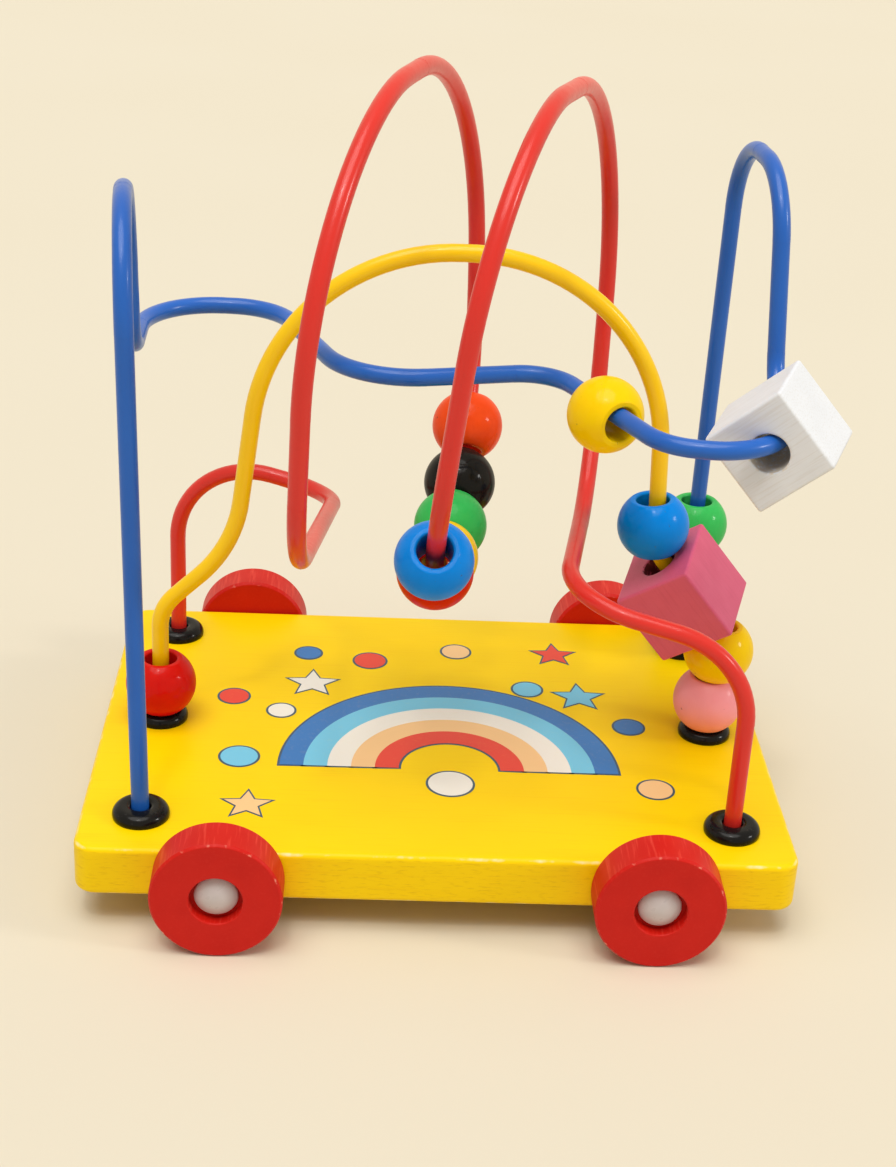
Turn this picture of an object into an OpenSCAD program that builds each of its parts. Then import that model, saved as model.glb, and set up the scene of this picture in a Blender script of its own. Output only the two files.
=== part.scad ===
// Bead maze: a wheeled board carrying three bent wires strung with turned beads and bored cubes.
// X runs along the board, Y across it to the back, Z up; the floor under the middle is the origin.

/* [Board] */
// Length of the board
board_l = 200; // [190:1:230]
// Width of the board
board_w = 145; // [138:1:165]
// Thickness of the board
board_t = 15; // [14:0.5:18]
// Radius of the board's corners in plan
board_corner = 6; // [4:0.5:12]
// Round-over along the edges of both faces
board_edge = 1.6; // [1:0.1:3.5]

/* [Wheels] */
// Diameter of a wheel
wheel_d = 36; // [32:1:40]
// Width of a wheel
wheel_w = 12; // [10:0.5:14]
// Bevel on a wheel's two rims
wheel_bevel = 0.8; // [0.4:0.1:1.5]
// Distance of each axle from the middle of the board
wheel_x = 60; // [55:1:65]
// Diameter of the recess round a pin's head
recess_d = 14.5; // [13.5:0.5:18]
// Depth of that recess
recess_h = 4; // [3.5:0.5:6]
// Diameter of an axle pin's shank
pin_d = 6; // [5:0.5:7]
// Diameter of an axle pin's head
pin_head_d = 12; // [10:0.5:12.5]
// Height of an axle pin's domed head
pin_head_h = 3.2; // [2:0.2:3.6]
// Length of a pin inside the board
pin_grip = 20; // [15:1:24]

/* [Wires] */
// Diameter of the wires
wire_d = 5; // [4:0.2:5.4]
// Distance of the wire feet from the middle, along the board
foot_x = 83; // [81:0.5:85]
// Distance of the outer wire feet from the middle, across the board
foot_y = 55; // [53:0.5:57]
// Depth of a wire's end below the deck
wire_seat = 11; // [9:0.5:12]
// Height of the blue wire's left hairpin above the deck
hairpin_left_h = 168; // [165:1:175]
// Height of the blue wire's right hairpin above the deck
hairpin_right_h = 172; // [168:1:180]
// Height of the blue wire's level run above the deck
level_h = 114.5; // [110:0.5:118]
// Height of the red wire's two loops above the deck
loop_h = 202; // [196:1:210]
// Height of the red wire's valley above the deck
valley_h = 62; // [58:1:66]
// Height of the yellow wire's arch above the deck
arch_h = 149; // [145:1:155]

/* [Ferrules] */
// Diameter of a ferrule
ferrule_d = 16; // [14:0.5:17]
// Height of a ferrule above the deck
ferrule_h = 3.4; // [3:0.2:4.2]
// Round-over on a ferrule's upper edge
ferrule_round = 2.6; // [1.5:0.1:2.8]
// Diameter of a ferrule's shank
shank_d = 8; // [7.5:0.5:10]
// Length of a ferrule's shank
shank_l = 8; // [5:0.5:8.5]

/* [Beads] */
// Diameter of a bead
bead_d = 21; // [19.5:0.5:21.5]
// Diameter of a bead's hole
bead_bore = 9.6; // [9.2:0.2:10.4]
// Width of the flat ring round each end of the hole
bead_flat = 1.6; // [0.8:0.1:2]
// Bevel at each end of the hole
bead_bevel = 0.4; // [0.2:0.1:0.6]
// Edge of a cube
cube_l = 25; // [22:0.5:26]
// Diameter of a cube's hole
cube_bore = 11; // [10.6:0.2:12]
// Bevel along a cube's edges
cube_bevel = 0.8; // [0.4:0.1:1.5]

/* [Fits] */
// Clearance round a wheel's pin
run_fit = 0.08; // [0.05:0.01:0.1]
// Clearance round glued and pressed shanks
seat_fit = 0.02; // [0.01:0.01:0.05]
// Clearance round a wire in its foot
wire_fit = 0.2; // [0.15:0.05:0.3]
// Clearance between pieces that rest on one another
rest_gap = 0.3; // [0.2:0.1:0.5]
// Clearance between neighbours in the row of beads
row_gap = 1.4; // [0.5:0.1:2]
// Clearance between a wheel and the board
side_gap = 0.5; // [0.4:0.1:1]

/* [Hidden] */
$fn = 48;
hull_facets = 32;
cut_over = 1;
lap = 0.3;
skin = 0.06;

deck = wheel_d / 2 + board_t / 2;
bead_end_r = bead_bore / 2 + bead_flat;
bead_len = 2 * sqrt(pow(bead_d / 2, 2) - pow(bead_end_r, 2));

// A pin's head is a spherical cap: the sphere's radius follows from the cap's height and base.
pin_head_edge = 1;
pin_cap = pin_head_h - pin_head_edge;
pin_cap_r = (pow(pin_head_d / 2, 2) + pow(pin_cap, 2)) / (2 * pin_cap);
pin_head_z = side_gap + wheel_w - recess_h + rest_gap;

// Height above the deck at which the edge of a bead's hole rests on a ferrule.
ferrule_top_r = ferrule_d / 2 - ferrule_round;
past_top = max(0, bead_bore / 2 + bead_bevel - ferrule_top_r);
foot_rest = ferrule_h - ferrule_round + sqrt(pow(ferrule_round, 2) - pow(past_top, 2)) + rest_gap;

// Wire paths: x, y, height above the deck, bend radius.
blue_path = [
    [-foot_x, -foot_y, -wire_seat, 0],
    [-foot_x - 2, -foot_y, hairpin_left_h, 28],
    [-foot_x - 8, 4, hairpin_left_h, 28],
    [-foot_x - 7, 4, level_h, 11],
    [-foot_x - 8, 51, level_h, 22],
    [-52, 50, level_h, 20],
    [-28, -11, level_h, 24],
    [28, 2, level_h, 14],
    [53, -51, level_h, 16],
    [foot_x + 3, -57, level_h, 21],
    [foot_x + 7, -5, level_h, 13],
    [foot_x + 5, 8, hairpin_right_h, 23],
    [foot_x + 1, foot_y, hairpin_right_h, 22],
    [foot_x, foot_y, -wire_seat, 0]
];
red_path = [
    [-foot_x, foot_y, -wire_seat, 0],
    [-foot_x, foot_y - 1, 66, 26],
    [-32, 43, 57, 20],
    [-41, -70, 83, 36],
    [-38, -99, loop_h, 59],
    [5, 46, loop_h - 2, 65],
    [9, 43, valley_h + 15, 55],
    [-9, -68, valley_h, 56],
    [5, -88, loop_h + 1, 51],
    [48, 55, loop_h - 10, 68],
    [46, 39, 67, 41],
    [31, -46, 67, 21],
    [foot_x, -foot_y, 56, 26],
    [foot_x, -foot_y, -wire_seat, 0]
];
yellow_path = [
    [-foot_x, 0, -wire_seat, 0],
    [-foot_x, 0, 37, 14],
    [-foot_x + 22, 0, 58, 40],
    [-foot_x + 33, 0, arch_h, 57],
    [foot_x - 25, 0, arch_h - 1, 57],
    [foot_x - 21, 0, 61, 16],
    [foot_x, 0, 38, 8],
    [foot_x, 0, -wire_seat, 0]
];

function point(path, i) = [path[i].x, path[i].y, path[i].z];
function unit(v) = v / norm(v);
function heading(path, i) = unit(point(path, i + 1) - point(path, i));
function turn(path, i) = acos(heading(path, i - 1) * heading(path, i));
function set_back(path, i) = path[i][3] == 0 ? lap : path[i][3] * tan(turn(path, i) / 2);
function inward(path, i) = let (a = heading(path, i - 1), b = heading(path, i)) unit(b - (a * b) * a);
function hub(path, i) =
    point(path, i) - heading(path, i - 1) * set_back(path, i) + inward(path, i) * path[i][3];

// The row in the valley: the third bead sits where the rear bend runs out, two more above it,
// and three on the front bend; each hangs from the wire by the play in its hole.
row_hang = bead_bore / 2 - wire_d / 2 - 1;
row_shift = 2;
rear_bend = 6;
front_bend = 7;
function row_pitch(i) = 2 * atan((bead_len + row_gap) / 2 / (red_path[i][3] + row_hang - bead_end_r));
valley_run = norm(point(red_path, front_bend) - point(red_path, rear_bend))
    - set_back(red_path, rear_bend) - set_back(red_path, front_bend);
front_arc = (bead_len + row_gap - valley_run) / (red_path[front_bend][3] + row_hang - bead_end_r);
front_first = front_arc * 180 / PI;

// The bead and the cube on the blue wire's level run hang by the play in their holes.
bead_hang = bead_bore / 2 - wire_d / 2 - rest_gap;
level_run = 7;
level_along = 29.5;
white_corner = 9;
white_along = 20.5;
white_hang = 1.7;
white_at = point(blue_path, white_corner) + [0, white_along, -white_hang];
white_pitch = 3;
white_yaw = 67.5;
white_roll = 47;

// The right-hand stack on the yellow wire, from the foot up: the cube lies on the sloping run
// against the bead below it, and the top bead sits on the cube's upper face.
stack_low = foot_rest + bead_len / 2;
stack_step = bead_len + rest_gap;
slope = 5;
slope_foot = point(yellow_path, slope + 1);
slope_head = point(yellow_path, slope);
up_slope = -heading(yellow_path, slope);
up_leg = -heading(yellow_path, slope - 1);
second_aside = 1.4;
second_at = [foot_x + second_aside, 0, stack_low + stack_step];
magenta_tip = 3;
magenta_roll = -23;
magenta_rise = atan2(up_slope.z, -up_slope.x) + magenta_tip;
magenta_up = [-cos(magenta_rise), 0, sin(magenta_rise)];
magenta_hang = 1.6;
magenta_aside = 1.2;
magenta_base = slope_foot + magenta_hang * [-up_slope.z, 0, up_slope.x] - [0, magenta_aside, 0];
reach = cube_l / 2 + rest_gap + bead_d / 2;
magenta_at = magenta_base
    + up_slope * (reach - (magenta_base - second_at) * magenta_up) / (up_slope * magenta_up);
top_lean = 6;
top_hang = 1;
top_aside = 0.8;
top_base = slope_head - [top_hang, top_aside, 0];
top_at = top_base + up_leg * (reach - (top_base - magenta_at) * magenta_up) / (up_leg * magenta_up);

module board_blank() {
    inset = board_corner - board_edge;
    slope_in = board_edge * (1 - cos(45));
    $fn = hull_facets;
    translate([0, 0, wheel_d / 2])
        hull()
            for (x = [-1, 1], y = [-1, 1])
                translate([x * (board_l / 2 - board_corner), y * (board_w / 2 - board_corner), 0]) {
                    cylinder(r = board_corner, h = board_t - 2 * board_edge, center = true);
                    cylinder(r = board_corner - slope_in, h = board_t - 2 * slope_in, center = true);
                    cylinder(r = inset, h = board_t, center = true);
                }
}

module to_foot(x, y) {
    translate([x * foot_x, y * foot_y, deck]) children();
}

module to_wheel(x, y) {
    translate([x * wheel_x, y * board_w / 2, wheel_d / 2]) rotate([-90 * y, 0, 0]) children();
}

module board() {
    color("#f2c80c")
        difference() {
            board_blank();
            for (x = [-1, 1], y = [-1, 0, 1])
                to_foot(x, y) {
                    translate([0, 0, -shank_l - rest_gap])
                        cylinder(d = shank_d + 2 * seat_fit, h = shank_l + rest_gap + cut_over);
                    translate([0, 0, -wire_seat - rest_gap])
                        cylinder(d = wire_d + 2 * wire_fit, h = wire_seat);
                }
            for (x = [-1, 1], y = [-1, 1])
                to_wheel(x, y)
                    translate([0, 0, -pin_grip - rest_gap])
                        cylinder(d = pin_d + 2 * seat_fit, h = pin_grip + rest_gap + cut_over);
        }
}

module ferrule(x, y) {
    color("#1b1b1d")
        to_foot(x, y)
            difference() {
                union() {
                    cylinder(d = ferrule_d, h = ferrule_h - ferrule_round);
                    intersection() {
                        translate([0, 0, ferrule_h - ferrule_round])
                            rotate_extrude() translate([ferrule_top_r, 0]) circle(r = ferrule_round);
                        cylinder(d = ferrule_d + cut_over, h = ferrule_h + cut_over);
                    }
                    cylinder(r = ferrule_top_r, h = ferrule_h);
                    translate([0, 0, -shank_l]) cylinder(d = shank_d, h = shank_l + lap);
                }
                translate([0, 0, -shank_l - cut_over])
                    cylinder(d = wire_d + 2 * wire_fit, h = shank_l + ferrule_h + 2 * cut_over);
            }
}

module to_bend(path, i) {
    x = -inward(path, i);
    y = heading(path, i - 1);
    z = cross(x, y);
    c = hub(path, i);
    multmatrix([[x.x, y.x, z.x, c.x], [x.y, y.y, z.y, c.y], [x.z, y.z, z.z, c.z], [0, 0, 0, 1]]) children();
}

module to_run(path, i, along) {
    d = heading(path, i);
    translate(point(path, i) + d * along) rotate([0, acos(d.z), atan2(d.y, d.x)]) children();
}

module wire(path) {
    last = len(path) - 1;
    translate([0, 0, deck]) {
        for (i = [1:last - 1])
            to_bend(path, i)
                rotate_extrude(angle = turn(path, i))
                    translate([path[i][3], 0]) circle(d = wire_d);
        for (i = [0:last - 1]) {
            start = set_back(path, i) - lap;
            stop = norm(point(path, i + 1) - point(path, i)) - set_back(path, i + 1) + lap;
            to_run(path, i, start) cylinder(d = wire_d - skin, h = stop - start);
        }
    }
}

module wire_blue() {
    color("#2f66c4") wire(blue_path);
}

module wire_red() {
    color("#cf3a3c") wire(red_path);
}

module wire_yellow() {
    color("#eab21f") wire(yellow_path);
}

module wheel(x, y) {
    bore_r = pin_d / 2 + run_fit;
    rim_r = wheel_d / 2;
    outer = side_gap + wheel_w;
    color("#cf2222")
        to_wheel(x, y)
            rotate_extrude()
                polygon([
                    [bore_r, side_gap],
                    [rim_r - wheel_bevel, side_gap],
                    [rim_r, side_gap + wheel_bevel],
                    [rim_r, outer - wheel_bevel],
                    [rim_r - wheel_bevel, outer],
                    [recess_d / 2, outer],
                    [recess_d / 2, outer - recess_h],
                    [bore_r, outer - recess_h]
                ]);
}

module pin(x, y) {
    color("#e9e6ea")
        to_wheel(x, y)
            union() {
                translate([0, 0, -pin_grip]) cylinder(d = pin_d, h = pin_grip + pin_head_z + pin_head_edge);
                translate([0, 0, pin_head_z])
                    intersection() {
                        translate([0, 0, pin_head_h - pin_cap_r]) sphere(r = pin_cap_r);
                        cylinder(d = pin_head_d, h = pin_head_h + cut_over);
                    }
            }
}

module bead() {
    difference() {
        intersection() {
            sphere(d = bead_d);
            cube([bead_d + cut_over, bead_d + cut_over, bead_len], center = true);
        }
        cylinder(d = bead_bore, h = bead_len + cut_over, center = true);
        for (end = [0, 180])
            rotate([end, 0, 0])
                translate([0, 0, bead_len / 2 - bead_bevel])
                    cylinder(d1 = bead_bore, d2 = bead_bore + 4 * bead_bevel, h = 2 * bead_bevel);
    }
}

module block() {
    bar = sqrt(2) * (cube_l - cube_bevel);
    difference() {
        intersection() {
            cube(cube_l, center = true);
            rotate([45, 0, 0]) cube([2 * cube_l, bar, bar], center = true);
            rotate([0, 45, 0]) cube([bar, 2 * cube_l, bar], center = true);
            rotate([0, 0, 45]) cube([bar, bar, 2 * cube_l], center = true);
        }
        cylinder(d = cube_bore, h = cube_l + cut_over, center = true);
    }
}

module row_bead(i, angle) {
    translate([0, 0, deck])
        to_bend(red_path, i)
            rotate([0, 0, angle + row_shift])
                translate([red_path[i][3] + row_hang, 0, 0])
                    rotate([-90, 0, 0]) bead();
}

module row_orange() {
    color("#e2502c") row_bead(rear_bend, turn(red_path, rear_bend) - 2 * row_pitch(rear_bend));
}

module row_black() {
    color("#1c1b1c") row_bead(rear_bend, turn(red_path, rear_bend) - row_pitch(rear_bend));
}

module row_green() {
    color("#3fae57") row_bead(rear_bend, turn(red_path, rear_bend));
}

module row_yellow() {
    color("#f0bf16") row_bead(front_bend, front_first);
}

module row_red() {
    color("#cf3a2e") row_bead(front_bend, front_first + row_pitch(front_bend));
}

module row_blue() {
    color("#1f7fc9") row_bead(front_bend, front_first + 2 * row_pitch(front_bend));
}

module level_bead() {
    color("#f0bf16")
        translate([0, 0, deck])
            to_run(blue_path, level_run, level_along)
                translate([bead_hang, 0, 0]) bead();
}

module cube_white() {
    color("#e8e8e6")
        translate([0, 0, deck])
            translate(white_at)
                rotate([0, 90 - white_pitch, white_yaw])
                    rotate([0, 0, white_roll]) block();
}

module foot_bead(x, y, height) {
    to_foot(x, y) translate([0, 0, height]) bead();
}

module leg_low() {
    color("#1f7fc9") foot_bead(1, 1, stack_low);
}

module leg_mid() {
    color("#e2502c") foot_bead(1, 1, stack_low + stack_step);
}

module leg_top() {
    color("#3fae57") foot_bead(1, 1, stack_low + 2 * stack_step);
}

module left_bead() {
    color("#cf2222") foot_bead(-1, 0, stack_low);
}

module stack_pink() {
    color("#ef8ba0") foot_bead(1, 0, stack_low);
}

module stack_yellow() {
    color("#f0bf16") translate([0, 0, deck]) translate(second_at) bead();
}

module cube_magenta() {
    color("#c4508c")
        translate([0, 0, deck])
            translate(magenta_at)
                rotate([0, magenta_rise - 90, 0])
                    rotate([0, 0, magenta_roll]) block();
}

module stack_blue() {
    color("#1f7fc9")
        translate([0, 0, deck])
            translate(top_at)
                rotate([0, -top_lean, 0]) bead();
}

board();
ferrule(-1, -1);  // ferrule_front_left
ferrule(1, -1);  // ferrule_front_right
ferrule(-1, 0);  // ferrule_mid_left
ferrule(1, 0);  // ferrule_mid_right
ferrule(-1, 1);  // ferrule_rear_left
ferrule(1, 1);  // ferrule_rear_right
wire_blue();
wire_red();
wire_yellow();
wheel(-1, -1);  // wheel_front_left
wheel(1, -1);  // wheel_front_right
wheel(-1, 1);  // wheel_rear_left
wheel(1, 1);  // wheel_rear_right
pin(-1, -1);  // pin_front_left
pin(1, -1);  // pin_front_right
pin(-1, 1);  // pin_rear_left
pin(1, 1);  // pin_rear_right
row_orange();
row_black();
row_green();
row_yellow();
row_red();
row_blue();
level_bead();
cube_white();
leg_low();
leg_mid();
leg_top();
left_bead();
stack_pink();
stack_yellow();
cube_magenta();
stack_blue();
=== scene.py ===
import math
import bpy
import numpy as np
from mathutils import Matrix, Vector


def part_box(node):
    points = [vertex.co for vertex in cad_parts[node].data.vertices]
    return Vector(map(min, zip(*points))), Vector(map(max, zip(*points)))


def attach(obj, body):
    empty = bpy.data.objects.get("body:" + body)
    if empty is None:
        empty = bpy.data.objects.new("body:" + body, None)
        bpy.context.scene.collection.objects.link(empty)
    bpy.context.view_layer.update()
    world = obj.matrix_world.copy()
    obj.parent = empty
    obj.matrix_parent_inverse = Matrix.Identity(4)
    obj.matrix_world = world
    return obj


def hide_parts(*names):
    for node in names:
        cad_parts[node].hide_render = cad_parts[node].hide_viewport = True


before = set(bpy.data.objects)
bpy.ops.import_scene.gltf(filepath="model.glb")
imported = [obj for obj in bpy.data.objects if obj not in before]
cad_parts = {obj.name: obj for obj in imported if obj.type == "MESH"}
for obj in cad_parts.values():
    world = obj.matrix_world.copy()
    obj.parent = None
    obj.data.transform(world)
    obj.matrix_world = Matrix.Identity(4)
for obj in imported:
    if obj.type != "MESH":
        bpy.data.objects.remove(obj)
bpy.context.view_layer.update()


# The viewpoint: half a metre in front of the toy and a little above it, tipped a few degrees.
# Its place and focal length were solved from the board's corners, the wheels and the wires' feet.
photo_high = 1167
focal_pixels = 1957.76
viewpoint = bpy.data.objects.new("viewpoint", bpy.data.cameras.new("viewpoint"))
viewpoint.data.sensor_width = 36
viewpoint.data.lens = focal_pixels * viewpoint.data.sensor_width / photo_high
viewpoint.location = (-0.0248, -0.5197, 0.3258)
viewpoint.rotation_euler = [math.radians(turn) for turn in (64.113, -2.881, -1.532)]
bpy.context.scene.collection.objects.link(viewpoint)
bpy.context.scene.camera = viewpoint
bpy.context.scene.view_settings.view_transform = "Standard"


# The board: a 15 mm slab of plywood with rounded corners, its edges routed to a soft round-over
# and the whole sprayed yellow. Handling has rubbed the paint thin along the arrises, and the pale
# colour there is also a painted highlight along each round-over.
MM = 0.001
board_l, board_w, board_t = 200, 145, 15
board_corner, board_edge = 6, 1.6
worn_across, worn_down = 1.5, 1
underside = 10.5
deck = underside + board_t


def linear(shade):
    """An sRGB hex colour as the linear RGBA that a shader takes."""
    parts = [int(shade[i:i + 2], 16) / 255 for i in (1, 3, 5)]
    return [p / 12.92 if p <= 0.04045 else ((p + 0.055) / 1.055) ** 2.4 for p in parts] + [1]


def add_node(finish, kind, inputs=None, **settings):
    """Adds one node to a material or a world, with its settings, input values and input links.

    In a colour mix, socket 0 is the second colour's share, and sockets 6 and 7 are the colours.
    """
    made = finish.node_tree.nodes.new("ShaderNode" + kind)
    for name, value in settings.items():
        setattr(made, name, value)
    for socket, value in (inputs or {}).items():
        if isinstance(value, bpy.types.NodeSocket):
            finish.node_tree.links.new(value, made.inputs[socket])
        else:
            made.inputs[socket].default_value = value
    return made


def start_finish(name, **sockets):
    """A new material and its surface shader, with the values that are the same all over."""
    finish = bpy.data.materials.new(name)
    finish.use_nodes = True
    surface = finish.node_tree.nodes["Principled BSDF"]
    for socket, value in sockets.items():
        surface.inputs[socket.replace("_", " ")].default_value = value
    return finish, surface


def make_piece(name, vertices, faces, rub=None):
    """A new smooth-shaded piece from points in millimetres, with how far each point is rubbed."""
    mesh = bpy.data.meshes.new(name)
    mesh.from_pydata([[c * MM for c in v] for v in vertices], [], faces)
    mesh.shade_smooth()
    if rub:
        mesh.attributes.new("rub", "FLOAT", "POINT").data.foreach_set("value", rub)
    piece = bpy.data.objects.new(name, mesh)
    bpy.context.scene.collection.objects.link(piece)
    return piece


def board_outline(inset, height, steps=8):
    """The board's outline drawn in by an inset, at a height."""
    points = []
    for x, y, start in ((1, 1, 0), (-1, 1, 90), (-1, -1, 180), (1, -1, 270)):
        for k in range(steps + 1):
            a = math.radians(start + 90 * k / steps)
            points.append((
                x * (board_l / 2 - board_corner) + (board_corner - inset) * math.cos(a),
                y * (board_w / 2 - board_corner) + (board_corner - inset) * math.sin(a),
                height,
            ))
    return points


edge_steps = 8
# Each ring's rub peaks halfway round the round-over: worn paint there, and a painted highlight.
round_over = [(board_edge + worn_across, 0, 0)]
for k in range(edge_steps + 1):
    a = math.radians(90 * k / edge_steps)
    round_over.append((board_edge * (1 - math.sin(a)), board_edge * (1 - math.cos(a)), math.sin(2 * a)))
round_over.append((0, board_edge + worn_down, 0))
rings = [(inset, underside + up, rub) for inset, up, rub in round_over]
rings += [(inset, deck - up, rub) for inset, up, rub in reversed(round_over)]
board_points, board_faces, board_wear_and_highlight = [], [], []
for inset, height, rub in rings:
    ring = board_outline(inset, height)
    board_wear_and_highlight += [rub] * len(ring)
    board_points += ring
around = len(ring)
for r in range(len(rings) - 1):
    for k in range(around):
        a, b = r * around + k, r * around + (k + 1) % around
        board_faces.append((a, b, b + around, a + around))
board_faces.append(tuple(reversed(range(around))))
board_faces.append(tuple(range((len(rings) - 1) * around, len(rings) * around)))
board = make_piece("board_slab", board_points, board_faces, board_wear_and_highlight)

# Satin spray paint on plywood: an even, strong yellow with a soft sheen. The grain telegraphs
# through as faint streaks along the board, the sawn sides show open pores, and pale wood shows
# where an arris has been rubbed; that pale cream is also a painted highlight along the round-overs.
satin_yellow, surface = start_finish("satin_paint_on_plywood", IOR=1.5, Specular_IOR_Level=0.15)
place = add_node(satin_yellow, "TexCoord").outputs["Object"]
grain_at = add_node(
    satin_yellow, "VectorMath", {0: place, 1: (1 / 0.022, 1 / 0.0008, 1 / 0.0008)}, operation="MULTIPLY"
)
grain = add_node(satin_yellow, "TexNoise", {"Vector": grain_at.outputs[0], "Scale": 1, "Detail": 3})
cloudy = add_node(satin_yellow, "TexNoise", {"Vector": place, "Scale": 1 / 0.035, "Detail": 2})
nibbles = add_node(satin_yellow, "TexNoise", {"Vector": place, "Scale": 1 / 0.005, "Detail": 5})
rubbed = add_node(satin_yellow, "Attribute", attribute_name="rub")
worn = add_node(
    satin_yellow, "Math", {0: rubbed.outputs["Fac"], 1: nibbles.outputs["Fac"]}, operation="MULTIPLY"
)
bare = add_node(satin_yellow, "MapRange", {"Value": worn.outputs[0], "From Min": 0.47, "From Max": 0.68})
coat = add_node(
    satin_yellow, "Mix",
    {0: cloudy.outputs["Fac"], 6: linear("#ffd900"), 7: linear("#fbce00")},
    data_type="RGBA",
)
streak = add_node(
    satin_yellow, "MapRange",
    {"Value": grain.outputs["Fac"], "From Min": 0.55, "From Max": 0.8, "To Max": 0.25},
)
streaked = add_node(
    satin_yellow, "Mix", {0: streak.outputs[0], 6: coat.outputs[2], 7: linear("#efb400")}, data_type="RGBA"
)
pore_at = add_node(
    satin_yellow, "VectorMath", {0: place, 1: (1 / 0.003, 1 / 0.003, 1 / 0.0006)}, operation="MULTIPLY"
)
pores = add_node(satin_yellow, "TexNoise", {"Vector": pore_at.outputs[0], "Scale": 1, "Detail": 3})
open_pore = add_node(
    satin_yellow, "MapRange",
    {"Value": pores.outputs["Fac"], "From Min": 0.54, "From Max": 0.72, "To Max": 0.32},
)
facing = add_node(satin_yellow, "SeparateXYZ", {0: add_node(satin_yellow, "TexCoord").outputs["Normal"]})
level = add_node(satin_yellow, "Math", {0: facing.outputs["Z"]}, operation="ABSOLUTE")
sawn = add_node(
    satin_yellow, "MapRange",
    {"Value": level.outputs[0], "From Min": 0.2, "From Max": 0.6, "To Min": 1, "To Max": 0},
)
pored = add_node(
    satin_yellow, "Math", {0: sawn.outputs[0], 1: open_pore.outputs[0]}, operation="MULTIPLY"
)
sides = add_node(
    satin_yellow, "Mix",
    {0: pored.outputs[0], 6: streaked.outputs[2], 7: linear("#d09a00")},
    data_type="RGBA",
)
# Worn paint and painted highlight: the rubbed arrises turn pale cream.
shown = add_node(
    satin_yellow, "Mix", {0: bare.outputs[0], 6: sides.outputs[2], 7: linear("#f6e6a8")}, data_type="RGBA"
)
sheen = add_node(
    satin_yellow, "MapRange", {"Value": cloudy.outputs["Fac"], "To Min": 0.32, "To Max": 0.46}
)
relief = add_node(
    satin_yellow, "Bump", {"Height": grain.outputs["Fac"], "Strength": 0.12, "Distance": 0.0002}
)
satin_yellow.node_tree.links.new(shown.outputs[2], surface.inputs["Base Color"])
satin_yellow.node_tree.links.new(sheen.outputs[0], surface.inputs["Roughness"])
satin_yellow.node_tree.links.new(relief.outputs[0], surface.inputs["Normal"])
board.data.materials.append(satin_yellow)
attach(board, "root")
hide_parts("board")


# The deck's print: a rainbow of five flat inks with dots and stars about it, screened over the
# yellow and edged with a dark blue line. Each ink is a film too thin to feel.
ink_film, ink_soak = 0.06, 0.05
rainbow_at = (4, -26)
rainbow_r, band_w = 50, 7
edge_w = 0.7
star_waist = 0.45
arc_steps, dot_steps = 64, 48


def ring_points(at, radius, start, stop, steps):
    """Points on an arc round a place on the deck."""
    return [
        (
            at[0] + radius * math.cos(math.radians(start + (stop - start) * k / steps)),
            at[1] + radius * math.sin(math.radians(start + (stop - start) * k / steps)),
        )
        for k in range(steps + 1)
    ]


def star_points(at, radius):
    """A five-pointed star on the deck."""
    points = []
    for k in range(10):
        a = math.radians(90 + 36 * k)
        r = radius if k % 2 == 0 else radius * star_waist
        points.append((at[0] + r * math.cos(a), at[1] + r * math.sin(a)))
    return points


def ink(name, shade):
    """Screen ink over paint: flat and strong, a little glossier than the paint under it."""
    finish, surface = start_finish(name, IOR=1.5)
    place = add_node(finish, "TexCoord").outputs["Object"]
    speckle = add_node(finish, "TexNoise", {"Vector": place, "Scale": 1 / 0.0012, "Detail": 2})
    thin = add_node(
        finish, "MapRange",
        {"Value": speckle.outputs["Fac"], "From Min": 0.55, "From Max": 0.8, "To Max": 0.06},
    )
    film = add_node(
        finish, "Mix", {0: thin.outputs[0], 6: linear(shade), 7: linear("#f0cf70")}, data_type="RGBA"
    )
    gloss = add_node(finish, "MapRange", {"Value": speckle.outputs["Fac"], "To Min": 0.26, "To Max": 0.4})
    finish.node_tree.links.new(film.outputs[2], surface.inputs["Base Color"])
    finish.node_tree.links.new(gloss.outputs[0], surface.inputs["Roughness"])
    return finish


inks = {
    "line": ink("dark_blue_screen_ink", "#1f4a63"),
    "red": ink("red_screen_ink", "#e5321f"),
    "peach": ink("peach_screen_ink", "#f6c789"),
    "white": ink("white_screen_ink", "#f1ede0"),
    "sky": ink("sky_blue_screen_ink", "#6fc6e4"),
    "blue": ink("mid_blue_screen_ink", "#1d70b8"),
}
prints = []
for k, shade in enumerate(("blue", "sky", "white", "peach", "red")):
    outer = rainbow_r - k * band_w
    inner = outer - band_w
    for tone, out, level in (("line", edge_w, 1), (shade, 0, 2)):
        tip = math.degrees(out / outer)
        band = ring_points(rainbow_at, outer + out, -tip, 180 + tip, arc_steps)
        band += ring_points(rainbow_at, inner - out, 180 + tip, -tip, arc_steps)
        prints.append((tone, level, band))
last_dot = 360 - 360 / dot_steps
for tone, at, radius in (
    ("sky", (-58, -22), 5.5), ("white", (-47, 6), 4), ("red", (-62, 14), 4.5), ("peach", (64, -34), 5),
    ("blue", (60, 2), 4.5), ("white", (4, -34), 6.5), ("sky", (30, 24), 4.5), ("red", (-20, 40), 5),
    ("blue", (-40, 44), 4), ("peach", (8, 48), 4.5),
):
    prints.append(("line", 1, ring_points(at, radius + edge_w, 0, last_dot, dot_steps - 1)))
    prints.append((tone, 2, ring_points(at, radius, 0, last_dot, dot_steps - 1)))
for tone, at, radius in (
    ("white", (-38, 24), 8), ("sky", (46, 20), 8), ("peach", (-54, -48), 7), ("red", (40, 48), 7),
):
    prints.append(("line", 1, star_points(at, radius + 2 * edge_w)))
    prints.append((tone, 2, star_points(at, radius)))
tones = list(inks)
film_points, film_faces, film_tones = [], [], []
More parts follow.
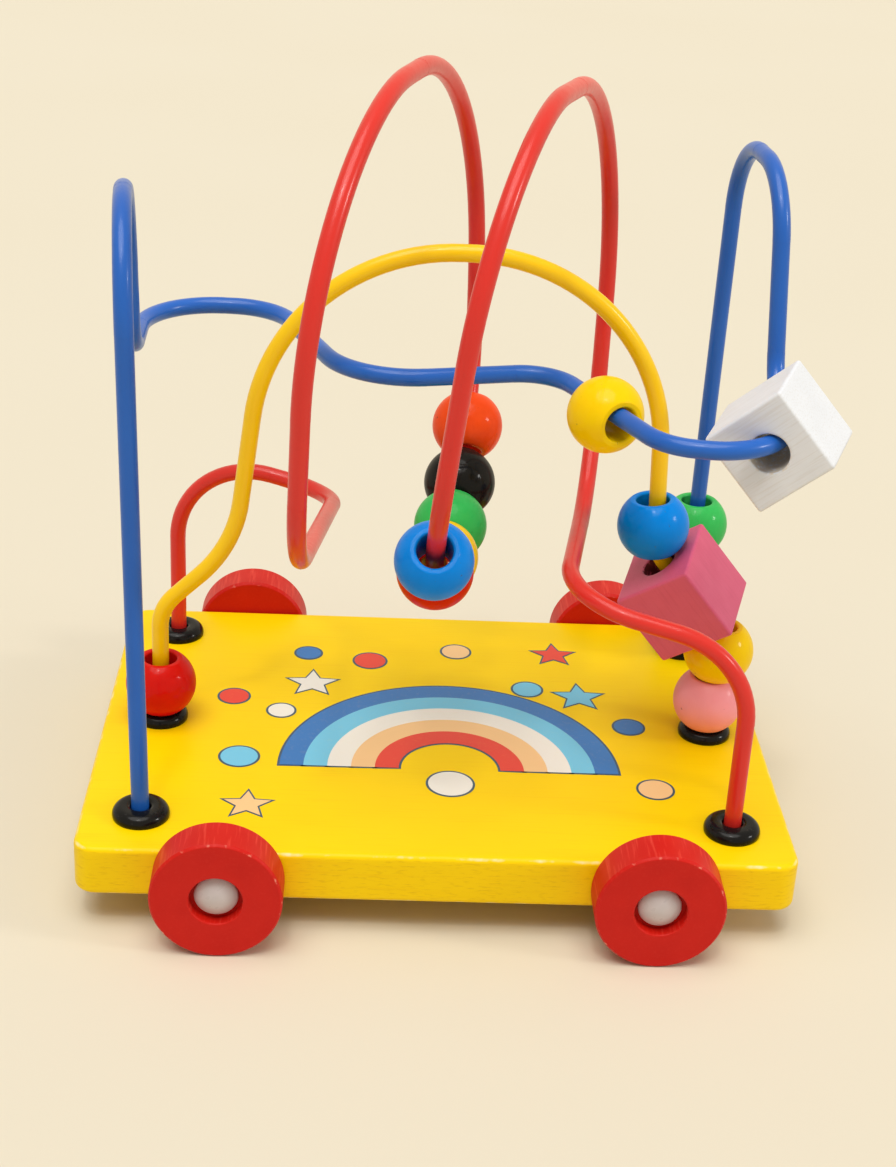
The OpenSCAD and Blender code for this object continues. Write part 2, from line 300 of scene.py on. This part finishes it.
for tone, level, points in prints:
    first, count = len(film_points), len(points)
    for height in (deck + ink_film * level, deck - ink_soak):
        film_points += [(x, y, height) for x, y in points]
    film_faces.append(tuple(range(first, first + count)))
    film_faces.append(tuple(reversed(range(first + count, first + 2 * count))))
    for k in range(count):
        a, b = first + k, first + (k + 1) % count
        film_faces.append((b, a, a + count, b + count))
    film_tones += [tones.index(tone)] * (count + 2)
deck_print = make_piece("deck_print", film_points, film_faces)
deck_print.data.shade_flat()
for tone in tones:
    deck_print.data.materials.append(inks[tone])
deck_print.data.polygons.foreach_set("material_index", film_tones)
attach(deck_print, "root")


# The ferrules: six glossy black buttons moulded in polystyrene, with rounded rims, pressed into
# the deck round the feet of the wires to hide the drilled holes.
wire_d = 5
foot_x, foot_y = 83, 55
ferrule_d, ferrule_h, ferrule_round = 16, 3.4, 2.6
ferrule_bore, ferrule_lift, ferrule_draft = wire_d / 2 + 0.22, 0.02, 0.1
ferrule_mouth = [(ferrule_bore, 0.7), (3.3, 0.1), (4, 0)]
round_steps = 12


def turned(name, profile, sides=96):
    """A piece turned about Z from a closed profile of (radius, height, rub) in millimetres."""
    points, rub, rows = [], [], []
    for radius, height, wear in profile:
        spokes = sides if radius > 0 else 1
        rows.append([len(points) + k % spokes for k in range(sides)])
        for k in range(spokes):
            a = 2 * math.pi * k / sides
            points.append((radius * math.cos(a), radius * math.sin(a), height))
            rub.append(wear)
    faces = []
    for low, high in zip(rows, rows[1:] + rows[:1]):
        for k in range(sides):
            corners = (low[k], low[(k + 1) % sides], high[(k + 1) % sides], high[k])
            face = tuple(dict.fromkeys(corners))
            if len(face) > 2:
                faces.append(face)
    return make_piece(name, points, faces, rub)


def soften(piece, width, segments=3):
    """Rounds a piece's sharp edges over by a width in millimetres."""
    bevel = piece.modifiers.new("softened_edges", "BEVEL")
    bevel.width = width * MM
    bevel.segments = segments
    bevel.limit_method = "ANGLE"
    bevel.angle_limit = math.radians(28)
    bevel.harden_normals = True


# Moulded polystyrene: a deep black with a clear, slightly soft reflection and a trace of dust.
black_moulding, surface = start_finish("moulded_polystyrene", IOR=1.59, Specular_IOR_Level=0.12)
place = add_node(black_moulding, "TexCoord").outputs["Object"]
dust = add_node(black_moulding, "TexNoise", {"Vector": place, "Scale": 1 / 0.0015, "Detail": 4})
speck = add_node(
    black_moulding, "MapRange", {"Value": dust.outputs["Fac"], "From Min": 0.6, "From Max": 0.85},
)
shown = add_node(
    black_moulding, "Mix",
    {0: speck.outputs[0], 6: linear("#101012"), 7: linear("#3a3634")},
    data_type="RGBA",
)
gloss = add_node(black_moulding, "MapRange", {"Value": dust.outputs["Fac"], "To Min": 0.1, "To Max": 0.24})
black_moulding.node_tree.links.new(shown.outputs[2], surface.inputs["Base Color"])
black_moulding.node_tree.links.new(gloss.outputs[0], surface.inputs["Roughness"])

ferrule_profile = [(ferrule_bore, ferrule_lift, 0)]
ferrule_profile += [(radius, ferrule_h - drop, 0) for radius, drop in ferrule_mouth]
for k in range(round_steps + 1):
    a = math.radians(90 - 90 * k / round_steps)
    ferrule_profile.append((
        ferrule_d / 2 - ferrule_round + ferrule_round * math.cos(a),
        ferrule_h - ferrule_round + ferrule_round * math.sin(a),
        0,
    ))
ferrule_profile.append((ferrule_d / 2 - ferrule_draft, ferrule_lift, 0))
ferrule_profile.reverse()
for side, x in (("left", -1), ("right", 1)):
    for row, y in (("front", -1), ("mid", 0), ("rear", 1)):
        name = "ferrule_{}_{}".format(row, side)
        ferrule = turned(name + "_button", ferrule_profile)
        ferrule.matrix_world = Matrix.Translation((x * foot_x * MM, y * foot_y * MM, deck * MM))
        ferrule.data.materials.append(black_moulding)
        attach(ferrule, "root")
        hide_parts(name)


# The three wires: mild steel rod bent cold round formers, then dipped in coloured plastic, with
# their ends glued into the board. The solid shapes carry over and get their coating here.


def dipped_steel(name, shade, deep):
    """Plastic-dipped steel: satin, evenly coloured, with a soft long highlight and faint scuffs."""
    finish, surface = start_finish(
        name, IOR=1.52, Specular_IOR_Level=0.2, Coat_Weight=0.3, Coat_Roughness=0.16, Coat_IOR=1.5
    )
    place = add_node(finish, "TexCoord").outputs["Object"]
    drift = add_node(finish, "TexNoise", {"Vector": place, "Scale": 1 / 0.03, "Detail": 2})
    peel = add_node(finish, "TexNoise", {"Vector": place, "Scale": 1 / 0.0016, "Detail": 2})
    scuff = add_node(
        finish, "MapRange", {"Value": peel.outputs["Fac"], "From Min": 0.62, "From Max": 0.8, "To Max": 0.3}
    )
    coat = add_node(
        finish, "Mix", {0: drift.outputs["Fac"], 6: linear(shade), 7: linear(deep)},
        data_type="RGBA",
    )
    shown = add_node(
        finish, "Mix", {0: scuff.outputs[0], 6: coat.outputs[2], 7: linear(deep)}, data_type="RGBA"
    )
    sheen = add_node(finish, "MapRange", {"Value": peel.outputs["Fac"], "To Min": 0.26, "To Max": 0.42})
    relief = add_node(finish, "Bump", {"Height": peel.outputs["Fac"], "Strength": 0.08, "Distance": 0.0002})
    finish.node_tree.links.new(shown.outputs[2], surface.inputs["Base Color"])
    finish.node_tree.links.new(sheen.outputs[0], surface.inputs["Roughness"])
    finish.node_tree.links.new(relief.outputs[0], surface.inputs["Normal"])
    return finish


for node, shade, deep in (
    ("wire_blue", "#2068c8", "#1958b0"),
    ("wire_red", "#e8332a", "#cf271e"),
    ("wire_yellow", "#ffd400", "#fac200"),
):
    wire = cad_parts[node]
    wire.material_slots[0].material = dipped_steel(node.replace("wire_", "") + "_dipped_steel", shade, deep)


# The axle pins: round-headed nylon pins, driven through the wheels into the board's edges.
# Their domed heads sit down in the wheels' recesses.
wheel_d, wheel_w = 36, 12
wheel_x = 60
recess_d, recess_h = 14.5, 4
side_gap = 0.5
pin_d, pin_head_d, pin_head_h, pin_head_edge = 6, 12, 3.2, 1
pin_grip, pin_sides, pin_soft = 20, 64, 0.45
head_gap = 0.3

# Moulded nylon: milky and slightly see-through, so light spreads under its soft gloss.
milky_nylon, surface = start_finish(
    "moulded_nylon", IOR=1.53,
    Subsurface_Weight=0.5, Subsurface_Radius=(0.003, 0.0026, 0.0024), Subsurface_Scale=1,
)
place = add_node(milky_nylon, "TexCoord").outputs["Object"]
flow = add_node(milky_nylon, "TexNoise", {"Vector": place, "Scale": 1 / 0.004, "Detail": 2})
shown = add_node(
    milky_nylon, "Mix",
    {0: flow.outputs["Fac"], 6: linear("#cfc6c5"), 7: linear("#c0b5b4")},
    data_type="RGBA",
)
gloss = add_node(milky_nylon, "MapRange", {"Value": flow.outputs["Fac"], "To Min": 0.22, "To Max": 0.36})
milky_nylon.node_tree.links.new(shown.outputs[2], surface.inputs["Base Color"])
milky_nylon.node_tree.links.new(gloss.outputs[0], surface.inputs["Roughness"])

head_z = side_gap + wheel_w - recess_h + head_gap
cap_h = pin_head_h - pin_head_edge
cap_r = ((pin_head_d / 2) ** 2 + cap_h ** 2) / (2 * cap_h)
pin_profile = [
    (0, -pin_grip, 0), (pin_d / 2, -pin_grip, 0), (pin_d / 2, head_z, 0), (pin_head_d / 2, head_z, 0),
]
for k in range(round_steps + 1):
    r = pin_head_d / 2 * (1 - k / round_steps)
    pin_profile.append((r, head_z + pin_head_h - cap_r + math.sqrt(cap_r ** 2 - r ** 2), 0))
corners = []
for end, y in (("front", -1), ("rear", 1)):
    corners += [(end, y, "left", -1), (end, y, "right", 1)]


def axle_place(x, y):
    """Where a corner's axle leaves the board, with Z pointing out along it."""
    side_of_board = Matrix.Translation((x * wheel_x * MM, y * board_w / 2 * MM, wheel_d / 2 * MM))
    return side_of_board @ Matrix.Rotation(math.radians(-90 * y), 4, "X")


for end, y, side, x in corners:
    name = "pin_{}_{}".format(end, side)
    pin = turned(name + "_nylon", pin_profile, pin_sides)
    soften(pin, pin_soft)
    pin.matrix_world = axle_place(x, y)
    pin.data.materials.append(milky_nylon)
    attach(pin, "root")
    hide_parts(name)


# The wheels: discs turned from beech dowel with a recess for the pin's head, painted red.
# The rims have lost specks of paint where they have knocked against things.
rim, bore, recess = wheel_d / 2, pin_d / 2 + 0.08, recess_d / 2
inner, outer, floor_z = side_gap, side_gap + wheel_w, side_gap + wheel_w - recess_h
inner_cut, outer_cut, recess_cut = 0.8, 0.6, 0.3
inner_worn, outer_worn, recess_worn = 2.2, 1.8, 1.2
recess_rub = 0.9
wheel_soft = 0.2

# Satin paint on turned beech: red, a little uneven, with the grain's lines along the axle on the
# tread and pale chips along the rims.
wheel_paint, surface = start_finish("satin_paint_on_beech", IOR=1.5, Specular_IOR_Level=0.2)
place = add_node(wheel_paint, "TexCoord").outputs["Object"]
grain_at = add_node(
    wheel_paint, "VectorMath", {0: place, 1: (1 / 0.0009, 1 / 0.0009, 1 / 0.014)}, operation="MULTIPLY"
)
grain = add_node(wheel_paint, "TexNoise", {"Vector": grain_at.outputs[0], "Scale": 1, "Detail": 3})
cloudy = add_node(wheel_paint, "TexNoise", {"Vector": place, "Scale": 1 / 0.009, "Detail": 3})
nibbles = add_node(wheel_paint, "TexNoise", {"Vector": place, "Scale": 1 / 0.0022, "Detail": 4})
rubbed = add_node(wheel_paint, "Attribute", attribute_name="rub")
worn = add_node(
    wheel_paint, "Math", {0: rubbed.outputs["Fac"], 1: nibbles.outputs["Fac"]}, operation="MULTIPLY"
)
bare = add_node(wheel_paint, "MapRange", {"Value": worn.outputs[0], "From Min": 0.6, "From Max": 0.72})
coat = add_node(
    wheel_paint, "Mix",
    {0: cloudy.outputs["Fac"], 6: linear("#d21b0f"), 7: linear("#c2130a")},
    data_type="RGBA",
)
streak = add_node(
    wheel_paint, "MapRange",
    {"Value": grain.outputs["Fac"], "From Min": 0.52, "From Max": 0.76, "To Max": 0.6},
)
facing = add_node(wheel_paint, "SeparateXYZ", {0: add_node(wheel_paint, "TexCoord").outputs["Normal"]})
across = add_node(wheel_paint, "Math", {0: facing.outputs["Z"]}, operation="ABSOLUTE")
tread = add_node(wheel_paint, "MapRange", {"Value": across.outputs[0], "To Min": 1, "To Max": 0.12})
on_tread = add_node(wheel_paint, "Math", {0: tread.outputs[0], 1: streak.outputs[0]}, operation="MULTIPLY")
streaked = add_node(
    wheel_paint, "Mix", {0: on_tread.outputs[0], 6: coat.outputs[2], 7: linear("#ee5644")}, data_type="RGBA"
)
shown = add_node(
    wheel_paint, "Mix", {0: bare.outputs[0], 6: streaked.outputs[2], 7: linear("#e98d78")}, data_type="RGBA"
)
sheen = add_node(wheel_paint, "MapRange", {"Value": cloudy.outputs["Fac"], "To Min": 0.36, "To Max": 0.52})
relief = add_node(
    wheel_paint, "Bump", {"Height": grain.outputs["Fac"], "Strength": 0.15, "Distance": 0.0002},
)
wheel_paint.node_tree.links.new(shown.outputs[2], surface.inputs["Base Color"])
wheel_paint.node_tree.links.new(sheen.outputs[0], surface.inputs["Roughness"])
wheel_paint.node_tree.links.new(relief.outputs[0], surface.inputs["Normal"])

wheel_profile = [
    (bore, inner, 0),
    (rim - inner_worn, inner, 0), (rim - inner_cut, inner, 1),
    (rim, inner + inner_cut, 1), (rim, inner + inner_worn, 0),
    (rim, outer - outer_worn, 0), (rim, outer - outer_cut, 1),
    (rim - outer_cut, outer, 1), (rim - outer_worn, outer, 0),
    (recess + recess_worn, outer, 0), (recess + recess_cut, outer, recess_rub),
    (recess, outer - recess_cut, recess_rub), (recess, outer - recess_worn, 0),
    (recess, floor_z, 0), (bore, floor_z, 0),
]
for end, y, side, x in corners:
    name = "wheel_{}_{}".format(end, side)
    wheel = turned(name + "_disc", wheel_profile)
    soften(wheel, wheel_soft)
    wheel.matrix_world = axle_place(x, y)
    wheel.data.materials.append(wheel_paint)
    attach(wheel, name)
    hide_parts(name)


# The beads: 21 mm balls turned from beech, bored through, with a small flat round each end of
# the hole, tumbled in coloured lacquer. They hang and rest on the wires by the play in the hole.
bead_d, bead_bore, bead_flat = 21, 9.6, 1.6
bead_cut, bead_soft = 0.4, 0.25
ball_steps = 32


def bore_way(node):
    """The direction of a bead's hole: the one that least of its surface faces."""
    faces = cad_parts[node].data.polygons
    ways = np.array([face.normal for face in faces])
    areas = np.array([face.area for face in faces])
    axes = np.linalg.eigh((ways * areas[:, None]).T @ ways)[1]
    return Vector(axes[:, 0])


def middle(node):
    """The middle of a solid's box."""
    low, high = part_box(node)
    return (Vector(low) + Vector(high)) / 2


def tumbled_lacquer(name, shade, deep):
    """Gloss lacquer on beech: a strong colour under a clear skin, faint grain and a few dark nicks."""
    finish, surface = start_finish(
        name, IOR=1.5, Specular_IOR_Level=0.03, Coat_Weight=0.2, Coat_Roughness=0.12, Coat_IOR=1.5
    )
    place = add_node(finish, "TexCoord").outputs["Object"]
    grain_at = add_node(
        finish, "VectorMath", {0: place, 1: (1 / 0.0007, 1 / 0.0007, 1 / 0.009)}, operation="MULTIPLY"
    )
    grain = add_node(finish, "TexNoise", {"Vector": grain_at.outputs[0], "Scale": 1, "Detail": 3})
    cloudy = add_node(finish, "TexNoise", {"Vector": place, "Scale": 1 / 0.006, "Detail": 3})
    streak = add_node(
        finish, "MapRange",
        {"Value": grain.outputs["Fac"], "From Min": 0.5, "From Max": 0.85, "To Max": 0.4},
    )
    coat = add_node(
        finish, "Mix", {0: cloudy.outputs["Fac"], 6: linear(shade), 7: linear(deep)},
        data_type="RGBA",
    )
    shown = add_node(
        finish, "Mix", {0: streak.outputs[0], 6: coat.outputs[2], 7: linear(deep)}, data_type="RGBA"
    )
    knocks = add_node(
        finish, "TexNoise", {"Vector": place, "Scale": 1 / 0.004, "Detail": 6, "Roughness": 0.7},
    )
    nick = add_node(
        finish, "MapRange",
        {"Value": knocks.outputs["Fac"], "From Min": 0.66, "From Max": 0.7, "To Max": 0.6},
    )
    nicked = add_node(
        finish, "Mix", {0: nick.outputs[0], 6: shown.outputs[2], 7: linear("#4a2c1c")}, data_type="RGBA"
    )
    sheen = add_node(finish, "MapRange", {"Value": cloudy.outputs["Fac"], "To Min": 0.28, "To Max": 0.42})
    relief = add_node(
        finish, "Bump", {"Height": cloudy.outputs["Fac"], "Strength": 0.06, "Distance": 0.0004},
    )
    finish.node_tree.links.new(nicked.outputs[2], surface.inputs["Base Color"])
    finish.node_tree.links.new(sheen.outputs[0], surface.inputs["Roughness"])
    finish.node_tree.links.new(relief.outputs[0], surface.inputs["Normal"])
    return finish


lacquers = {}
for colour, shade, deep in (
    ("orange", "#ff561c", "#ec4512"),
    ("black", "#141313", "#1a1817"),
    ("green", "#3fc662", "#33b252"),
    ("yellow", "#ffd800", "#fcca00"),
    ("red", "#de180c", "#c6100a"),
    ("blue", "#008cec", "#007cd8"),
    ("pink", "#ffa8b2", "#fb9aa4"),
):
    lacquers[colour] = tumbled_lacquer(colour + "_lacquer_on_beech", shade, deep)

hole_r = bead_bore / 2
end_r = hole_r + bead_flat
end_z = math.sqrt((bead_d / 2) ** 2 - end_r ** 2)
ball = []
tip = math.asin(end_z / (bead_d / 2))
for k in range(ball_steps + 1):
    a = -tip + 2 * tip * k / ball_steps
    ball.append((bead_d / 2 * math.cos(a), bead_d / 2 * math.sin(a), 0))
bead_profile = [(hole_r, -end_z + bead_cut, 0), (hole_r + bead_cut, -end_z, 0)] + ball
bead_profile += [(hole_r + bead_cut, end_z, 0), (hole_r, end_z - bead_cut, 0), (hole_r, 0, 0)]
for node, colour in (
    ("row_orange", "orange"), ("row_black", "black"), ("row_green", "green"), ("row_yellow", "yellow"),
    ("row_red", "red"), ("row_blue", "blue"), ("level_bead", "yellow"), ("leg_low", "blue"),
    ("leg_mid", "orange"), ("leg_top", "green"), ("left_bead", "red"), ("stack_pink", "pink"),
    ("stack_yellow", "yellow"), ("stack_blue", "blue"),
):
    bead = turned(node + "_ball", bead_profile)
    soften(bead, bead_soft)
    along = bore_way(node).to_track_quat("Z", "Y").to_matrix()
    bead.matrix_world = Matrix.Translation(middle(node)) @ along.to_4x4()
    bead.data.materials.append(lacquers[colour])
    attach(bead, node)
    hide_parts(node)


# The two cubes: 25 mm blocks sawn from beech and bored through, one washed white so that the
# wood still shows, the other painted magenta. Their arrises are just broken with sandpaper.
cube_l, cube_bore, cube_edge = 25, 11, 0.9
# The bore's weight is full: bare wood in the white cube, painted shade in the magenta one.
bore_wood_and_shade, rim_rub, arris_rub = 1, 0.65, 0.3
bore_cut, bore_worn, arris_worn = 0.4, 4, 1.2


def bored_cube(name):
    """A cube bored along Z, drawn as rings from the hole's middle round over both ends."""
    half, hole, lip, worn = cube_l / 2, cube_bore / 2, bore_cut, arris_worn
    flat = half - cube_edge
    turns = [cube_edge * math.tan(math.radians(a)) for a in (9, 18, 27, 36, 45)]
    side = [flat * k / 6 for k in range(-6, 7)]
    side = [-flat - t for t in reversed(turns)] + side + [flat + t for t in turns]
    spokes = []
    for c, s in ((1, 0), (0, 1), (-1, 0), (0, -1)):
        spokes += [(c - s * t / half, s + c * t / half) for t in side[:-1]]
    rings = [(hole, half - bore_worn, 0, bore_wood_and_shade), (hole, half - lip, 0, bore_wood_and_shade)]
    for a in (0.5, 1, 1.5):
        rings.append((hole + lip * (1 - math.cos(a)), half - lip * (1 - math.sin(a)), 0, rim_rub))
    rings += [(hole + worn, half, 0, 0), (flat - worn, half, 1, 0), (flat, half, 1, 0)]
    rings += [(flat + t, half, 1, arris_rub) for t in turns]
    rings += [(half, flat + t, 1, arris_rub) for t in reversed(turns[:-1])]
    rings += [(half, flat, 1, 0), (half, flat - worn, 1, 0)]
    rings += [(r, -z, square, rub) for r, z, square, rub in reversed(rings)]
    points, rub, faces = [], [], []
    for reach, z, square, wear in rings:
        for x, y in spokes:
            if not square:
                x, y = x / math.hypot(x, y), y / math.hypot(x, y)
            sharp = Vector((x * reach, y * reach, z))
            core = Vector([max(-flat, min(flat, c)) for c in sharp])
            proud = sharp - core
            points.append(core + proud.normalized() * cube_edge if square and proud.length > 0 else sharp)
            at_upright = min(abs(sharp.x), abs(sharp.y)) > flat and square
            rub.append(arris_rub if at_upright else wear)
    around = len(spokes)
    for r in range(len(rings)):
        for k in range(around):
            a, b = r * around, (r + 1) % len(rings) * around
            faces.append((a + k, a + (k + 1) % around, b + (k + 1) % around, b + k)[::-1])
    return make_piece(name, points, faces, rub)


def place_cube(piece, node):
    """Turns a cube to its solid's faces, the bored pair along Z."""
    flats = []
    for face in sorted(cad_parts[node].data.polygons, key=lambda face: -face.area):
        if all(abs(face.normal.dot(flat)) < 0.01 for flat in flats):
            flats.append(face.normal.copy())
    first, bored = flats[0], flats[2]
    turn = Matrix((first, bored.cross(first), bored)).transposed()
    piece.matrix_world = Matrix.Translation(middle(node)) @ turn.to_4x4()


# Thin white wash on sanded beech: chalky white with grey-brown streaks of grain, almost no gloss.
white_wash, surface = start_finish("white_wash_on_beech", IOR=1.45, Specular_IOR_Level=0.3)
place = add_node(white_wash, "TexCoord").outputs["Object"]
grain_at = add_node(
    white_wash, "VectorMath", {0: place, 1: (1 / 0.012, 1 / 0.0006, 1 / 0.0006)}, operation="MULTIPLY"
)
grain = add_node(white_wash, "TexNoise", {"Vector": grain_at.outputs[0], "Scale": 1, "Detail": 4})
cloudy = add_node(white_wash, "TexNoise", {"Vector": place, "Scale": 1 / 0.008, "Detail": 3})
streak = add_node(
    white_wash, "MapRange", {"Value": grain.outputs["Fac"], "From Min": 0.5, "From Max": 0.8, "To Max": 0.5}
)
coat = add_node(
    white_wash, "Mix",
    {0: cloudy.outputs["Fac"], 6: linear("#eceef2"), 7: linear("#e1e3e7")},
    data_type="RGBA",
)
shown = add_node(
    white_wash, "Mix", {0: streak.outputs[0], 6: coat.outputs[2], 7: linear("#cfc8bf")}, data_type="RGBA"
)
rubbed = add_node(white_wash, "Attribute", attribute_name="rub")
flecks = add_node(white_wash, "TexNoise", {"Vector": place, "Scale": 1 / 0.0011, "Detail": 4})
worn = add_node(
    white_wash, "Math", {0: rubbed.outputs["Fac"], 1: flecks.outputs["Fac"]},
    operation="MULTIPLY",
)
bare = add_node(white_wash, "MapRange", {"Value": worn.outputs[0], "From Min": 0.3, "From Max": 0.48})
bored = add_node(
    white_wash, "Mix", {0: bare.outputs[0], 6: shown.outputs[2], 7: linear("#dccfba")}, data_type="RGBA"
)
sheen = add_node(white_wash, "MapRange", {"Value": grain.outputs["Fac"], "To Min": 0.5, "To Max": 0.7})
relief = add_node(white_wash, "Bump", {"Height": grain.outputs["Fac"], "Strength": 0.2, "Distance": 0.0002})
white_wash.node_tree.links.new(bored.outputs[2], surface.inputs["Base Color"])
white_wash.node_tree.links.new(sheen.outputs[0], surface.inputs["Roughness"])
white_wash.node_tree.links.new(relief.outputs[0], surface.inputs["Normal"])

# Satin paint on sanded beech: magenta, softer and less shiny than the beads, with the saw's and
# the grain's lines just showing. The dark maroon inside the bore, and patchily at its mouth, is
# painted shade.
magenta_paint, surface = start_finish("magenta_paint_on_beech", IOR=1.5, Specular_IOR_Level=0.3)
place = add_node(magenta_paint, "TexCoord").outputs["Object"]
grain_at = add_node(
    magenta_paint, "VectorMath", {0: place, 1: (1 / 0.0006, 1 / 0.0006, 1 / 0.012)}, operation="MULTIPLY"
)
grain = add_node(magenta_paint, "TexNoise", {"Vector": grain_at.outputs[0], "Scale": 1, "Detail": 4})
cloudy = add_node(magenta_paint, "TexNoise", {"Vector": place, "Scale": 1 / 0.007, "Detail": 3})
streak = add_node(
    magenta_paint, "MapRange",
    {"Value": grain.outputs["Fac"], "From Min": 0.5, "From Max": 0.8, "To Max": 0.4},
)
coat = add_node(
    magenta_paint, "Mix",
    {0: cloudy.outputs["Fac"], 6: linear("#e06385"), 7: linear("#d6597a")},
    data_type="RGBA",
)
shown = add_node(
    magenta_paint, "Mix", {0: streak.outputs[0], 6: coat.outputs[2], 7: linear("#c74c6d")}, data_type="RGBA"
)
rubbed = add_node(magenta_paint, "Attribute", attribute_name="rub")
flecks = add_node(magenta_paint, "TexNoise", {"Vector": place, "Scale": 1 / 0.0011, "Detail": 4})
worn = add_node(
    magenta_paint, "Math", {0: rubbed.outputs["Fac"], 1: flecks.outputs["Fac"]},
    operation="MULTIPLY",
)
# Painted shade: the rub weight turns the bore, and in flecks its mouth, a dark maroon.
bare = add_node(magenta_paint, "MapRange", {"Value": worn.outputs[0], "From Min": 0.3, "From Max": 0.48})
bored = add_node(
    magenta_paint, "Mix", {0: bare.outputs[0], 6: shown.outputs[2], 7: linear("#6e3038")}, data_type="RGBA"
)
sheen = add_node(
    magenta_paint, "MapRange", {"Value": cloudy.outputs["Fac"], "To Min": 0.38, "To Max": 0.52},
)
relief = add_node(
    magenta_paint, "Bump", {"Height": grain.outputs["Fac"], "Strength": 0.15, "Distance": 0.0002},
)
magenta_paint.node_tree.links.new(bored.outputs[2], surface.inputs["Base Color"])
magenta_paint.node_tree.links.new(sheen.outputs[0], surface.inputs["Roughness"])
magenta_paint.node_tree.links.new(relief.outputs[0], surface.inputs["Normal"])

for node, finish, slot in (
    ("cube_white", white_wash, "white_paint"), ("cube_magenta", magenta_paint, "magenta_paint"),
):
    cube = bored_cube(node + "_block")
    place_cube(cube, node)
    cube.data.materials.append(finish)
    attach(cube, node)
    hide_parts(node)


# The setting: a wide sheet of cream paper under even, soft daylight from above, with a small lamp
# high in front and a window to the right, which give each bead its two highlights.
paper_reach = 40000
paper, surface = start_finish("cream_paper", IOR=1.45, Roughness=0.9)
place = add_node(paper, "TexCoord").outputs["Object"]
tooth = add_node(paper, "TexNoise", {"Vector": place, "Scale": 1 / 0.25, "Detail": 1})
shown = add_node(
    paper, "Mix", {0: tooth.outputs["Fac"], 6: linear("#ded5c0"), 7: linear("#dcd2bb")}, data_type="RGBA"
)
paper.node_tree.links.new(shown.outputs[2], surface.inputs["Base Color"])
sheet_points = [(x * paper_reach, y * paper_reach, 0) for x, y in ((-1, -1), (1, -1), (1, 1), (-1, 1))]
sheet = make_piece("paper_sheet", sheet_points, [(0, 1, 2, 3)])
sheet.data.materials.append(paper)

# Past the paper's edge the view meets the same cream, while the light from all round stays white.
daylight = bpy.data.worlds.new("daylight")
daylight.use_nodes = True
sky = daylight.node_tree.nodes["Background"]
sky.inputs["Color"].default_value = linear("#fffefc")
sky.inputs["Strength"].default_value = 0.38
beyond = add_node(daylight, "Background", {"Color": linear("#f9edd2")})
ray = add_node(daylight, "LightPath")
direct = add_node(
    daylight, "Math", {0: ray.outputs["Is Camera Ray"], 1: ray.outputs["Is Glossy Ray"]}, operation="MAXIMUM"
)
seen = add_node(
    daylight, "Math", {0: direct.outputs[0], 1: ray.outputs["Is Transmission Ray"]}, operation="MAXIMUM"
)
both = add_node(
    daylight, "MixShader", {0: seen.outputs[0], 1: sky.outputs[0], 2: beyond.outputs[0]}
)
daylight.node_tree.links.new(both.outputs[0], daylight.node_tree.nodes["World Output"].inputs["Surface"])
bpy.context.scene.world = daylight

for name, strength, wide, toward in (
    ("key_lamp", 2.2, 50, (-0.1, -0.2, 0.97)),
    ("front_lamp", 0.3, 5, (-0.1, -0.45, 1.03)),
    ("window_lamp", 0.65, 10, (1.0, -0.25, 0.48)),
):
    lamp = bpy.data.objects.new(name, bpy.data.lights.new(name, "SUN"))
    lamp.data.energy = strength
    lamp.data.angle = math.radians(wide)
    lamp.data.color = linear("#fffdf9")[:3]
    lamp.rotation_euler = Vector(toward).to_track_quat("Z", "Y").to_euler()
    bpy.context.scene.collection.objects.link(lamp)
